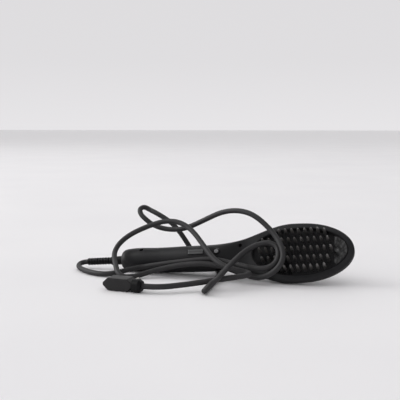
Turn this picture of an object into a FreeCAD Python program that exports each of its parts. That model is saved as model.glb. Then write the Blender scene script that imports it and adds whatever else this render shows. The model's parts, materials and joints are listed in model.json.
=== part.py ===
import FreeCAD, Part
import math
import os
import re
from types import SimpleNamespace

# Heated styling brush, lying on its edge as it was put down, with its cord thrown over it.
# Every piece of the brush is drawn in the brush's own frame: x runs along the axis from the
# butt to the tip, z is the direction of the bristles and y completes the frame. One placement,
# the lie, then puts the whole brush on the surface. Lengths in millimetres, angles in degrees.

SIZES = {
    # Casing
    "overall_length": 280.0,
    "head_length": 124.0,
    "head_width": 74.0,
    "head_back": 14.0,
    "face_height": 5.5,
    "rim_width": 6.6,
    "butt_radius": 13.2,
    "neck_radius": 14.0,
    "butt_round": 8.0,
    "neck_setback": 29.0,
    "neck_length": 82.0,
    "slope_lead": 9.0,
    "slope_length": 42.0,
    "wall": 2.2,
    "overrun": 1.0,
    # Lie on the surface
    "lie_tilt": 36.0,
    # Case screws and their bosses
    "butt_screw_x": 27.5,
    "butt_screw_y": 7.0,
    "neck_screw_gap": 7.0,
    "neck_screw_y": 9.6,
    "screw_head_radius": 2.0,
    "screw_head_height": 1.8,
    "screw_shank_radius": 1.25,
    "screw_length": 9.5,
    "screw_seat_height": 2.0,
    "screw_clearance": 0.1,
    "screw_sink_clearance": 0.3,
    "screw_slot_width": 0.7,
    "screw_slot_depth": 0.9,
    "boss_radius": 3.4,
    # Bristle plate and bristles
    "plate_gap": 0.45,
    "plate_sink": 0.4,
    "plate_flange": 2.4,
    "plate_fit": 0.3,
    "pocket_clearance": 0.15,
    "plate_under": 0.2,
    "dish_lip": 1.0,
    "dish_depth": 3.2,
    "ramp_start": 39.8,
    "ramp_height": 3.0,
    "bristle_length": 16.0,
    "bristle_base_radius": 2.1,
    "bristle_tip_radius": 0.9,
    "bristle_pitch": 7.4,
    "bristle_row_step": 11.4,
    "bristle_reach_tip": 38.0,
    "bristle_reach_neck": 50.0,
    "bristle_margin": 0.8,
    "bristle_socket_depth": 0.3,
    "bristle_socket_fit": 0.05,
    # Heater
    "heater_plate_margin": 7.5,
    "heater_plate_thickness": 3.0,
    "ptc_length": 34.0,
    "ptc_width": 15.0,
    "ptc_thickness": 2.5,
    "ptc_spacing": 44.0,
    "clamp_clearance": 3.0,
    "clamp_width": 7.6,
    "clamp_thickness": 0.8,
    "clamp_foot": 4.0,
    "clamp_screw_radius": 1.0,
    "clamp_screw_grip": 2.2,
    "clamp_screw_head_radius": 1.7,
    "clamp_screw_head_height": 0.6,
    "shield_gap": 1.1,
    "shield_thickness": 0.8,
    "shield_margin": 14.0,
    "shield_post_radius": 2.2,
    "shield_post_x": 30.0,
    "shield_post_y": 12.0,
    "thermal_fuse_radius": 2.0,
    "thermal_fuse_length": 11.0,
    "sensor_radius": 1.5,
    "sensor_length": 6.0,
    "sensor_y": 14.5,
    "contact_gap": 0.1,
    # Control board and what stands on it
    "board_lead": 60.5,
    "board_length": 78.0,
    "board_width": 18.0,
    "board_thickness": 1.6,
    "board_height": 4.0,
    "board_inset": 8.0,
    "post_radius": 2.6,
    "board_screw_radius": 1.0,
    "board_screw_length": 5.5,
    "board_screw_head_radius": 1.9,
    "board_screw_head_height": 1.2,
    "switch_side": 6.0,
    "switch_height": 3.4,
    "plunger_radius": 1.6,
    "plunger_height": 0.6,
    "led_length": 3.0,
    "led_width": 1.6,
    "led_height": 1.1,
    "led_y": 6.0,
    "capacitor_offset": 18.0,
    "capacitor_length": 13.0,
    "capacitor_width": 6.0,
    "capacitor_height": 8.5,
    "triac_offset": 36.0,
    "triac_length": 10.0,
    "triac_width": 4.5,
    "triac_height": 7.5,
    "board_fuse_offset": 53.0,
    "board_fuse_radius": 1.8,
    "board_fuse_length": 9.0,
    # Round button with its light
    "button_setback": 4.5,
    "button_radius": 3.9,
    "button_clearance": 0.3,
    "button_proud": 0.7,
    "button_travel": 0.8,
    "button_rim": 0.5,
    "button_flange_radius": 4.8,
    "button_flange_height": 0.8,
    "button_rest_gap": 0.3,
    "light_radius": 2.5,
    "light_depth": 1.2,
    "light_fit": 0.02,
    # Rocker for the temperature
    "rocker_spacing": 24.7,
    "rocker_length": 19.0,
    "rocker_width": 6.4,
    "rocker_proud": 0.7,
    "rocker_side_clearance": 0.3,
    "rocker_end_clearance": 0.6,
    "rocker_height": 5.6,
    "rocker_round": 0.6,
    "rocker_pin_radius": 0.8,
    "rocker_pin_depth": 3.6,
    "rocker_pin_fit": 0.05,
    "rocker_foot_radius": 1.3,
    "rocker_foot_spacing": 13.0,
    "rocker_foot_gap": 0.75,
    "lug_width": 1.8,
    "lug_length": 4.4,
    "lug_drop": 1.9,
    # Swivel and strain relief
    "collar_radius": 5.25,
    "collar_length": 14.5,
    "collar_clearance": 0.3,
    "swivel_flange_radius": 6.6,
    "swivel_flange_length": 5.3,
    "journal_radius": 3.5,
    "journal_fit": 0.06,
    "ring_fit": 0.02,
    "ring_width": 3.0,
    "ring_thickness": 1.1,
    "ring_step_down": 0.4,
    "ring_spacing": 5.0,
    "ring_clearance": 0.3,
    "housing_start": 8.3,
    "housing_length": 15.3,
    "housing_fit": 0.15,
    "bearing_length": 4.0,
    "bearing_end_gap": 0.8,
    "contact_thickness": 0.9,
    "contact_width": 3.0,
    "contact_fit": 0.05,
    "contact_tail": 1.9,
    "relief_length": 32.0,
    "relief_radius": 4.35,
    "relief_core_radius": 3.55,
    "relief_rib_width": 2.2,
    # Leads inside
    "lead_radius": 0.8,
    "heater_lead_y": 4.9,
    "lead_end_inset": 3.0,
    # Cord and plug
    "cord_diameter": 6.2,
    "cord_lead_out": 6.5,
    "plug_lead_out": 11.0,
    "plug_x": 64.5,
    "plug_y": -104.6,
    "plug_turn": -4.7,
    "plug_width": 35.3,
    "plug_thickness": 13.7,
    "plug_depth": 16.0,
    "plug_back": 4.0,
    "plug_bevel": 6.0,
    "plug_nose": 3.0,
    "plug_round": 0.9,
    "grip_length": 10.5,
    "grip_radius": 7.3,
    "grip_end_radius": 5.6,
    "grip_cone_length": 3.0,
    "pin_radius": 2.0,
    "pin_root_radius": 1.5,
    "pin_length": 19.0,
    "pin_root": 7.0,
    "pin_spacing": 18.6,
    "pin_fit": 0.02,
    "pin_round": 1.0,
}

# Places that follow from the sizes above
DERIVED = {
    "head_x": "overall_length - head_length / 2",
    "head_start": "overall_length - head_length",
    "neck_start": "head_start - neck_setback",
    "slope_start": "neck_start - slope_lead",
    "neck_screw_x": "head_start - neck_screw_gap",
    "button_x": "neck_start - button_setback",
    "rocker_x": "button_x - rocker_spacing",
    "board_start": "button_x - board_lead",
    "capacitor_x": "board_start + capacitor_offset",
    "triac_x": "board_start + triac_offset",
    "board_fuse_x": "board_start + board_fuse_offset",
    "clamp_length": "ptc_spacing + ptc_length + (clamp_foot + clamp_clearance) * 2",
    "half_length": "head_length / 2",
    "half_width": "head_width / 2",
    "opening_x": "half_length - rim_width",
    "opening_y": "half_width - rim_width",
    "rim_under": "face_height - wall",
    "plate_top": "face_height - plate_sink",
    "dish_floor": "plate_top - dish_depth",
    "ramp_length": "opening_x - ramp_start",
    "heater_under": "plate_under - heater_plate_thickness",
    "ptc_under": "heater_under - ptc_thickness",
    "clamp_under": "ptc_under - clamp_thickness",
    "shield_top": "clamp_under - shield_gap",
    "board_under": "board_height - board_thickness",
    "board_end": "board_start + board_length",
    "switch_top": "board_height + switch_height",
    "plunger_top": "switch_top + plunger_height",
    "button_bottom": "plunger_top + button_travel + button_rest_gap",
    "rocker_top": "neck_radius + rocker_proud",
    "rocker_pivot": "rocker_top - rocker_pin_depth",
    "lug_y": "rocker_width / 2 + rocker_side_clearance",
    "swivel_flange_start": "wall + collar_clearance",
    "swivel_flange_end": "swivel_flange_start + swivel_flange_length",
    "housing_end": "housing_start + housing_length",
    "bearing_start": "housing_end - bearing_length",
    "housing_radius": "butt_radius - wall - housing_fit",
    "ring_radius": "journal_radius + ring_thickness",
    "first_ring_x": "housing_start + ring_width / 2 + collar_clearance",
    "second_ring_x": "first_ring_x + ring_spacing",
    "contact_end": "housing_end + contact_tail",
    "relief_end": "-collar_length - relief_length",
    "plug_side": "-grip_length",
    "plug_middle": "-grip_length - plug_width / 2",
}

# Shares of the butt's rounding, the handle, the neck and the head's half length where the
# casing's sections stand
BUTT_SHARES = (0.0, 0.134, 0.5, 1.0)
HANDLE_SHARES = (0.3, 0.6, 0.92)
NECK_SHARES = (0.0, 0.08, 0.17, 0.26, 0.35, 0.44, 0.53, 0.62, 0.72, 0.84, 1.0)
HEAD_SHARES = (0.26, 0.5, 0.7, 0.84, 0.93, 0.975, 0.994, 0.9994)
# Exponents of the sections' curves: round on the handle, flat on the face of the head
ROUND_POWER = 2.0
FACE_POWER = 6.0
BACK_POWER = 2.2
# How fast the head's face and back close towards the tip
FACE_CLOSE_POWER = 0.2
BACK_CLOSE_POWER = 0.55
CURVE_STEPS = 20
FINE_STEPS = 400
BRISTLE_ROWS = (-2, -1, 0, 1, 2)
# A bristle's waist, as shares of its length and of its base radius
WAIST_HEIGHT_SHARE = 0.45
WAIST_RADIUS_SHARE = 0.72
RELIEF_RIBS = 9
# Share of the shorter run that a bend of the cord takes up
BEND_SHARE = 0.45

# The cord's way from the strain relief to the plug, on the surface's frame with x measured
# from below the butt
CORD_POINTS = (
    (-56.4, -5.8, 6.1), (-54, -13, 4.5), (-48.2, -19.4, 3.5), (-40, -26.5, 3.2),
    (-28.8, -35.2, 3.2), (-11.3, -41.8, 3.2), (0.4, -40, 3.7), (10.1, -36, 5.8),
    (20, -29.5, 7.9), (30.1, -17.5, 8.9), (47, -17.1, 12.4), (69.6, -17.7, 16.6),
    (91.7, -18, 20.4), (109.3, -18.2, 23.2), (122.6, -19.5, 23.5), (137, -22, 21.8),
    (151.6, -26, 19.9), (166, -30.5, 18.3), (179, -34.2, 18.5), (189.3, -33.2, 20.9),
    (195.9, -29.1, 27.1), (197, -23.5, 35), (194, -18.2, 42.1), (185.8, -15.4, 45.2),
    (176.7, -15.9, 44.3), (167.5, -19, 41.2), (158.8, -24, 35.9), (152.5, -35, 30.2),
    (147.7, -51, 24.6), (143.8, -68, 19.2), (140.6, -84, 14.4), (139, -96, 13.4),
    (134.4, -99.4, 7.9), (129.6, -94.8, 3.2), (128.3, -80, 3.2), (127.5, -55, 3.2),
    (126.5, -28, 3.2), (123.5, -2, 3.2), (114, 21, 3.2), (101, 31, 10),
    (83, 32, 16.6), (73.4, 32, 31.4), (63.5, 33, 44.9), (53.5, 35, 54.9),
    (41.1, 37, 62.4), (27.3, 39, 69), (19.8, 42.5, 71), (11, 41.5, 75.9),
    (7.3, 34.5, 73.2), (11.4, 29.5, 67.1), (17.9, 27, 62.4), (24, 26.4, 57.7),
    (30.7, 26, 53.8), (42.2, 25, 50.4), (54.8, 24, 49.4), (68, 22.5, 50.6),
    (81.3, 20.5, 55.2), (93.7, 17.5, 61.2), (107.1, 13.5, 68), (120.4, 9, 74.4),
    (134.6, 4.5, 78.1), (147.8, 0.5, 78.7), (159.9, -3.5, 76.6), (171.2, -7.5, 71.1),
    (181.2, -11, 63.4), (190.2, -14.5, 55.1), (197.8, -21.4, 46.5), (202.3, -27.7, 38.3),
    (203.3, -32, 31.3), (200, -34.5, 23.1), (193.4, -36, 16.1), (184.8, -35.5, 10.6),
    (174.5, -34, 8.1), (163.2, -31.5, 9.2), (150.2, -29, 12.5), (136.7, -27, 16.1),
    (123.1, -25.5, 18.4), (109, -24.8, 19.1), (95, -24.6, 17.8), (80.6, -24.6, 15.5),
    (66.5, -25.2, 12.2), (54, -27.5, 9), (43.6, -33.5, 6.2), (35.5, -41, 3.8),
    (28, -47.5, 3.2), (20.5, -51.3, 3.8), (13.6, -49, 7), (8.6, -42.2, 11.2),
    (3.6, -33.8, 16.2), (-1.2, -25.5, 21.5), (-3.5, -16.5, 28), (-0.9, -9, 34.9),
    (5.1, -3, 41.4),
    (13.7, 2, 47.3), (24.5, 6, 52.5), (35.6, 9, 57.1), (47.3, 10.5, 60.8),
    (59.5, 10, 62.4), (71.7, 7.5, 61), (83.2, 3, 56.5), (93.6, -4, 49.8),
    (103.7, -12.5, 41.6), (113.9, -22, 33.1), (123.9, -30.5, 25.6), (135.4, -36.5, 20.6),
    (147.4, -39, 17.6), (156.7, -39.5, 16), (164.2, -41, 15.2), (168.9, -47, 15.2),
    (168.9, -54.5, 15.4), (164, -58.5, 14.6), (154.7, -61.5, 13.2), (143.9, -66, 11.8),
    (133.4, -72, 10.7), (123.1, -78, 9.4), (112.7, -83.5, 8.3), (102.3, -89.5, 7.5),
    (93.2, -95.5, 7), (84.8, -100.5, 6.9),
)

V = FreeCAD.Vector
X_AXIS = V(1, 0, 0)
Y_AXIS = V(0, 1, 0)
Z_AXIS = V(0, 0, 1)
ALONG_Z = FreeCAD.Rotation()
ALONG_X = FreeCAD.Rotation(Z_AXIS, X_AXIS)
ALONG_Y = FreeCAD.Rotation(Z_AXIS, Y_AXIS)

doc = FreeCAD.newDocument("styling_brush")
sheet = doc.addObject("Spreadsheet::Sheet", "Sizes")
for row, (alias, value) in enumerate(SIZES.items(), 1):
    sheet.set("A%d" % row, alias)
    sheet.set("B%d" % row, str(value))
    sheet.setAlias("B%d" % row, alias)
for row, (alias, formula) in enumerate(DERIVED.items(), len(SIZES) + 1):
    sheet.set("A%d" % row, alias)
    sheet.set("B%d" % row, "=" + formula)
    sheet.setAlias("B%d" % row, alias)
doc.recompute()
ALIASES = set(SIZES) | set(DERIVED)
s = SimpleNamespace(**{alias: float(sheet.get(alias)) for alias in ALIASES})


def qualified(text):
    """An expression's text with each size taken from the sheet."""
    return re.sub(r"[a-z][a-z0-9_]*", lambda m: "Sizes." + m[0] if m[0] in ALIASES else m[0], text)


def bind(item, **formulas):
    for prop, text in formulas.items():
        item.setExpression(prop.replace("__", "."), qualified(text))


def place(item, x, y, z, turn):
    item.Placement = FreeCAD.Placement(V(), turn)
    bind(item, Placement__Base__x=x, Placement__Base__y=y, Placement__Base__z=z)


def cylinder(name, radius, length, x="0", y="0", z="0", turn=ALONG_Z):
    item = doc.addObject("Part::Cylinder", name)
    bind(item, Radius=radius, Height=length)
    place(item, x, y, z, turn)
    return item


def cone(name, radius, far_radius, length, x="0", y="0", z="0", turn=ALONG_Z):
    item = doc.addObject("Part::Cone", name)
    bind(item, Radius1=radius, Radius2=far_radius, Height=length)
    place(item, x, y, z, turn)
    return item


def block(name, length, width, height, x, y, z):
    """A box whose x and y are its middle and whose z is its underside."""
    item = doc.addObject("Part::Box", name)
    bind(item, Length=length, Width=width, Height=height)
    place(item, "%s - (%s) / 2" % (x, length), "%s - (%s) / 2" % (y, width), z, ALONG_Z)
    return item


def oval(name, radius_x, radius_y, z):
    item = doc.addObject("Part::Ellipse", name)
    bind(item, MajorRadius=radius_x, MinorRadius=radius_y)
    place(item, "head_x", "0", z, ALONG_Z)
    return item


def oval_slab(name, radius_x, radius_y, z, height):
    item = doc.addObject("Part::Extrusion", name)
    item.Base = oval(name + "_outline", radius_x, radius_y, z)
    item.DirMode = "Custom"
    item.Dir = Z_AXIS
    item.Solid = True
    bind(item, LengthFwd=height)
    return item


def cut(name, base, tool):
    item = doc.addObject("Part::Cut", name)
    item.Base = base
    item.Tool = tool
    return item


def fuse(name, items):
    item = doc.addObject("Part::MultiFuse", name)
    item.Shapes = items
    item.Refine = True
    return item


def group(name, items):
    item = doc.addObject("Part::Compound", name)
    item.Links = items
    return item


def common(name, items):
    item = doc.addObject("Part::MultiCommon", name)
    item.Shapes = items
    return item


def form(name, shape):
    item = doc.addObject("Part::Feature", name)
    item.Shape = shape
    return item


def rounded(name, base, radius, chosen):
    """The base with the edges that are chosen by their middles rounded."""
    doc.recompute()
    item = doc.addObject("Part::Fillet", name)
    item.Base = base
    numbered = enumerate(base.Shape.Edges, 1)
    item.Edges = [(number, radius, radius) for number, edge in numbered if chosen(edge.CenterOfMass)]
    return item


# Casing: sections of two half curves each, drawn through the whole length

def smooth(share):
    share = min(1.0, max(0.0, share))
    return share * share * (3 - 2 * share)


def unit_curve(power):
    """Half of a unit oval of the given exponent, in equal steps along the curve."""
    angles = [math.pi * i / FINE_STEPS for i in range(FINE_STEPS + 1)]
    fine = []
    for angle in angles:
        c = math.cos(angle)
        fine.append((math.copysign(abs(c) ** (2 / power), c), abs(math.sin(angle)) ** (2 / power)))
    lengths = [0.0]
    for a, b in zip(fine, fine[1:]):
        lengths.append(lengths[-1] + math.hypot(b[0] - a[0], b[1] - a[1]))
    points = []
    for i in range(CURVE_STEPS + 1):
        goal = lengths[-1] * i / CURVE_STEPS
        k = min(FINE_STEPS - 1, max(0, sum(1 for value in lengths if value < goal) - 1))
        part = (goal - lengths[k]) / (lengths[k + 1] - lengths[k])
        points.append(tuple(a + (b - a) * part for a, b in zip(fine[k], fine[k + 1])))
    return points


def stations(inset):
    """Places along the axis of the casing's sections, drawn in by the inset."""
    butt_end = s.butt_round
    tip = s.half_length - inset
    places = [inset + (butt_end - inset) * share for share in BUTT_SHARES]
    places += [butt_end + (s.neck_start - butt_end) * share for share in HANDLE_SHARES]
    places += [s.neck_start + (s.head_x - s.neck_start) * share for share in NECK_SHARES]
    places += [s.head_x + tip * share for share in HEAD_SHARES]
    return places


def section(x, inset):
    """Half width, front height, back depth and the two exponents of the section at x."""
    butt = s.butt_radius - inset
    neck = s.neck_radius - inset
    face = s.face_height - inset
    back = s.head_back - inset
    if x < s.butt_round:
        bend = s.butt_round - inset
        radius = butt - bend + bend * math.sqrt(1 - ((s.butt_round - x) / bend) ** 2)
        return radius, radius, radius, ROUND_POWER, ROUND_POWER
    round_part = min(1.0, (x - s.butt_round) / (s.neck_start - s.butt_round))
    radius = butt + (neck - butt) * round_part
    flare = smooth((x - s.neck_start) / s.neck_length)
    slope = smooth((x - s.slope_start) / s.slope_length)
    width = radius + (s.half_width - inset - radius) * flare
    front = radius + (face - radius) * slope
    rear = radius + (back - radius) * slope
    if x > s.head_x:
        close = math.sqrt(max(0.0, 1 - ((x - s.head_x) / (s.half_length - inset)) ** 2))
        width = width * close
        front = front * close ** FACE_CLOSE_POWER
        rear = rear * close ** BACK_CLOSE_POWER
    front_power = ROUND_POWER + (FACE_POWER - ROUND_POWER) * slope
    rear_power = ROUND_POWER + (BACK_POWER - ROUND_POWER) * slope
    return width, front, rear, front_power, rear_power


def half_casing(inset, side):
    """One half of the casing's form, front for side 1 and rear for side -1, run past the seam."""
    wires = []
    for x in stations(inset):
        width, front, rear, front_power, rear_power = section(x, inset)
        height, power = (front, front_power) if side > 0 else (rear, rear_power)
        points = [V(x, width * y, side * height * z) for y, z in unit_curve(power)]
        curve = Part.BSplineCurve()
        curve.interpolate(Points=points, Parameters=[float(i) for i in range(len(points))])
        low_end = V(x, -width, -side * s.overrun)
        low_start = V(x, width, -side * s.overrun)
        edges = [curve.toShape()]
        for a, b in ((points[-1], low_end), (low_end, low_start), (low_start, points[0])):
            edges.append(Part.LineSegment(a, b).toShape())
        wires.append(Part.Wire(edges))
    return Part.makeLoft(wires, True, False)


def half_space(name, side):
    z = "0" if side > 0 else "-head_width"
    return block(name, "overall_length * 2", "head_width * 2", "head_width", "overall_length / 2", "0", z)


SCREW_PLACES = (("butt", "butt_screw_x", "butt_screw_y"), ("neck", "neck_screw_x", "neck_screw_y"))
POST_PLACES = ("board_start + board_inset", "board_end - board_inset")
SHIELD_POSTS = [(a, b) for a in (1, -1) for b in (1, -1)]


def shell_blank(name, side):
    """A half of the casing and its hollow."""
    outer = form(name + "_form", half_casing(0.0, side))
    hollow = form(name + "_hollow", half_casing(s.wall, side))
    return common(name + "_blank", [outer, half_space(name + "_side", side)]), hollow


swivel_hole = cylinder("swivel_hole", "collar_radius + collar_clearance", "wall + overrun * 2",
                       x="-overrun", turn=ALONG_X)

front_blank, front_hollow = shell_blank("front", 1)
plate_pocket = oval_slab("plate_pocket", "opening_x + plate_flange + plate_fit",
                         "opening_y + plate_flange + plate_fit", "-overrun",
                         "rim_under + pocket_clearance + overrun")
front_stays = []
front_holes = [swivel_hole]
front_holes.append(oval_slab("plate_opening", "opening_x", "opening_y", "rim_under - overrun",
                             "wall + overrun * 2"))
for place_name, x, y in SCREW_PLACES:
    front_stays.append(cylinder(place_name + "_front_boss", "boss_radius", "neck_radius", x, y))
    front_holes.append(cylinder(place_name + "_sink", "screw_head_radius + screw_sink_clearance",
                                "neck_radius", x, y, "screw_seat_height"))
    front_holes.append(cylinder(place_name + "_shank_hole", "screw_shank_radius + screw_clearance",
                                "screw_seat_height + overrun * 2", x, y, "-overrun"))
for number, x in enumerate(POST_PLACES, 1):
    front_stays.append(cylinder("board_post_%d" % number, "post_radius", "neck_radius", x, "0",
                                "board_height"))
    front_holes.append(cylinder("post_hole_%d" % number, "board_screw_radius + screw_clearance",
                                "board_screw_length + screw_clearance", x, "0", "board_under"))
for number, sign in enumerate(("", "-"), 1):
    front_stays.append(block("rocker_lug_%d" % number, "lug_length", "lug_width", "neck_radius",
                             "rocker_x", sign + "(lug_y + lug_width / 2)", "rocker_pivot - lug_drop"))
front_holes.append(cylinder("button_hole", "button_radius + button_clearance", "neck_radius",
                            "button_x", "0", "button_bottom"))
front_holes.append(block("rocker_hole", "rocker_length + rocker_end_clearance * 2",
                         "rocker_width + rocker_side_clearance * 2", "neck_radius",
                         "rocker_x", "0", "rocker_pivot - lug_drop"))
front_holes.append(cylinder("rocker_pin_hole", "rocker_pin_radius + rocker_pin_fit",
                            "(lug_y + lug_width) * 2", "rocker_x", "-lug_y - lug_width",
                            "rocker_pivot", ALONG_Y))
front_room = cut("front_room", fuse("front_space", [front_hollow, plate_pocket]),
                 fuse("front_stays", front_stays))
front_shell = cut("front_shell", cut("front_walls", front_blank, front_room),
                  fuse("front_holes", front_holes))

rear_blank, rear_hollow = shell_blank("rear", -1)
rear_stays = []
rear_holes = [swivel_hole]
for place_name, x, y in SCREW_PLACES:
    rear_stays.append(cylinder(place_name + "_rear_boss", "boss_radius", "neck_radius", x, y,
                               "-neck_radius"))
    rear_holes.append(cylinder(place_name + "_thread_hole", "screw_shank_radius + screw_clearance",
                               "screw_length + overrun", x, y,
                               "screw_seat_height - screw_length - screw_clearance"))
for number, (a, b) in enumerate(SHIELD_POSTS, 1):
    rear_stays.append(cylinder("shield_post_%d" % number, "shield_post_radius", "head_back",
                               "head_x + %d * shield_post_x" % a, "%d * shield_post_y" % b,
                               "shield_top - shield_thickness - head_back"))
rear_room = cut("rear_room", rear_hollow, fuse("rear_stays", rear_stays))
rear_shell = cut("rear_shell", cut("rear_walls", rear_blank, rear_room),
                 fuse("rear_holes", rear_holes))


def screw(name, head_radius, head_height, radius, length, x, y, z, slot):
    """A slotted screw whose head stands up from z and whose shank goes down from it."""
    head = cylinder(name + "_head", head_radius, head_height, x, y, z)
    shank = cylinder(name + "_shank", radius, length, x, y, "%s - %s" % (z, length))
    floor = "%s + %s - %s" % (z, head_height, slot)
    groove = block(name + "_slot", head_radius + " * 3", "screw_slot_width", slot + " * 2", x, y, floor)
    return cut(name, fuse(name + "_blank", [head, shank]), groove)


case_screws = group("case_screws", [
    screw(place_name + "_screw", "screw_head_radius", "screw_head_height", "screw_shank_radius",
          "screw_length", x, y, "screw_seat_height", "screw_slot_depth")
    for place_name, x, y in SCREW_PLACES])

# Bristle plate: a flange under the rim, a raised oval and a dish with a socket for each bristle
# and a bare ramp towards the tip
plate_body = fuse("plate_body", [
    oval_slab("plate_flange_slab", "opening_x + plate_flange", "opening_y + plate_flange",
              "plate_under", "rim_under - plate_under"),
    oval_slab("plate_raised", "opening_x - plate_gap", "opening_y - plate_gap",
              "plate_under", "plate_top - plate_under")])
pan = oval_slab("dish_pan", "opening_x - plate_gap - dish_lip", "opening_y - plate_gap - dish_lip",
                "dish_floor", "dish_depth + overrun")
ramp = doc.addObject("Part::Wedge", "dish_ramp")
bind(ramp, Xmin="0", Xmax="ramp_length", X2min="ramp_length", X2max="ramp_length", Ymin="0",
     Ymax="ramp_height", Zmin="-half_width", Zmax="half_width", Z2min="-half_width", Z2max="half_width")
place(ramp, "head_x + ramp_start", "0", "dish_floor", FreeCAD.Rotation(X_AXIS, 90))
dish = cut("dish", pan, ramp)


def bristle_places():
    """Middles of the bristles: staggered rows inside the dish's mouth, bare towards the tip."""
    edge = s.plate_gap + s.dish_lip + s.bristle_base_radius + s.bristle_margin
    places = []
    for row in BRISTLE_ROWS:
        y = row * s.bristle_row_step
        span = (s.opening_x - edge) * math.sqrt(max(0.0, 1 - (y / (s.opening_y - edge)) ** 2))
        lowest = -min(span, s.bristle_reach_neck)
        highest = min(span, s.bristle_reach_tip)
        shift = s.bristle_pitch / 2 * (row % 2)
        first = math.ceil((lowest - shift) / s.bristle_pitch)
        last = math.floor((highest - shift) / s.bristle_pitch)
        for number in range(first, last + 1):
            places.append(V(s.head_x + shift + number * s.bristle_pitch, y, s.dish_floor))
    return places


def bristle():
    root = s.bristle_socket_depth
    waist = s.bristle_length * WAIST_HEIGHT_SHARE
    waist_radius = s.bristle_base_radius * WAIST_RADIUS_SHARE
    tip = s.bristle_length - s.bristle_tip_radius
    outline = [V(0, 0, -root), V(s.bristle_base_radius, 0, -root), V(s.bristle_base_radius, 0, 0),
               V(waist_radius, 0, waist), V(s.bristle_tip_radius, 0, tip)]
    edges = [Part.LineSegment(a, b).toShape() for a, b in zip(outline, outline[1:])]
    shoulder = s.bristle_tip_radius * math.sqrt(0.5)
    crown = V(0, 0, s.bristle_length)
    edges.append(Part.Arc(outline[-1], V(shoulder, 0, tip + shoulder), crown).toShape())
    edges.append(Part.LineSegment(crown, outline[0]).toShape())
    return Part.Face(Part.Wire(edges)).revolve(V(), Z_AXIS, 360)


one_bristle = bristle()
bristles = form("bristles", Part.makeCompound([one_bristle.translated(p) for p in bristle_places()]))
sockets = form("bristle_sockets", Part.makeCompound([
    Part.makeCylinder(s.bristle_base_radius + s.bristle_socket_fit, s.dish_depth * 2,
                      p - V(0, 0, s.bristle_socket_depth)) for p in bristle_places()]))
bristle_plate = cut("bristle_plate", cut("plate_dished", plate_body, dish), sockets)

# Heater under the plate: plate, two stones, clamp with two screws, shield, fuse and sensor
CLAMP_ENDS = ("head_x - clamp_length / 2 + clamp_foot / 2", "head_x + clamp_length / 2 - clamp_foot / 2")
clamp_holes = [cylinder("clamp_hole_%d" % number, "clamp_screw_radius + screw_clearance",
                        "clamp_thickness + ptc_thickness + clamp_screw_grip + screw_clearance + overrun",
                        x, "0", "clamp_under - overrun") for number, x in enumerate(CLAMP_ENDS, 1)]
heater_plate = cut("heater_plate", oval_slab(
    "heater_slab", "opening_x + plate_flange - heater_plate_margin",
    "opening_y + plate_flange - heater_plate_margin", "heater_under", "heater_plate_thickness"),
    group("heater_plate_holes", clamp_holes))
ptc_heaters = group("ptc_heaters", [
    block("ptc_%d" % number, "ptc_length", "ptc_width", "ptc_thickness",
          "head_x + %d * ptc_spacing / 2" % sign, "0", "ptc_under")
    for number, sign in enumerate((-1, 1), 1)])
clamp_bars = [block("clamp_bar", "clamp_length", "clamp_width", "clamp_thickness", "head_x", "0",
                    "clamp_under")]
for number, x in enumerate(CLAMP_ENDS, 1):
    clamp_bars.append(block("clamp_foot_%d" % number, "clamp_foot", "clamp_width",
                            "clamp_thickness + ptc_thickness", x, "0", "clamp_under"))
heater_clamp = cut("heater_clamp", fuse("clamp_blank", clamp_bars),
                   group("clamp_through", clamp_holes))
clamp_screws = group("clamp_screws", [
    fuse("clamp_screw_%d" % number, [
        cylinder("clamp_head_%d" % number, "clamp_screw_head_radius", "clamp_screw_head_height", x,
                 "0", "clamp_under - clamp_screw_head_height"),
        cylinder("clamp_shank_%d" % number, "clamp_screw_radius",
                 "clamp_thickness + ptc_thickness + clamp_screw_grip", x, "0", "clamp_under")])
    for number, x in enumerate(CLAMP_ENDS, 1)])
heat_shield = oval_slab("heat_shield", "opening_x + plate_flange - shield_margin",
                        "opening_y + plate_flange - shield_margin",
                        "shield_top - shield_thickness", "shield_thickness")
thermal_fuse = cylinder("thermal_fuse", "thermal_fuse_radius", "thermal_fuse_length",
                        "head_x - thermal_fuse_length / 2", "sensor_y",
                        "heater_under - thermal_fuse_radius - contact_gap", ALONG_X)
temperature_sensor = cylinder("temperature_sensor", "sensor_radius", "sensor_length",
                              "head_x - sensor_length / 2", "-sensor_y",
                              "heater_under - sensor_radius - contact_gap", ALONG_X)

# Control board with its screws, switches, light and power parts
board_holes = [cylinder("board_hole_%d" % number, "board_screw_radius + screw_clearance",
                        "board_thickness + overrun * 2", x, "0", "board_under - overrun")
               for number, x in enumerate(POST_PLACES, 1)]
board_slab = block("board_slab", "board_length", "board_width", "board_thickness",
                   "board_start + board_length / 2", "0", "board_under")
control_board = cut("control_board", board_slab, group("board_holes", board_holes))
board_screws = group("board_screws", [
    fuse("board_screw_%d" % number, [
        cylinder("board_head_%d" % number, "board_screw_head_radius", "board_screw_head_height", x,
                 "0", "board_under - board_screw_head_height"),
        cylinder("board_shank_%d" % number, "board_screw_radius", "board_screw_length", x, "0",
                 "board_under")])
    for number, x in enumerate(POST_PLACES, 1)])


def switch(name, x):
    case = block(name + "_case", "switch_side", "switch_side", "switch_height", x, "0", "board_height")
    plunger = cylinder(name + "_plunger", "plunger_radius", "plunger_height", x, "0", "switch_top")
    return fuse(name, [case, plunger])


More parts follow.
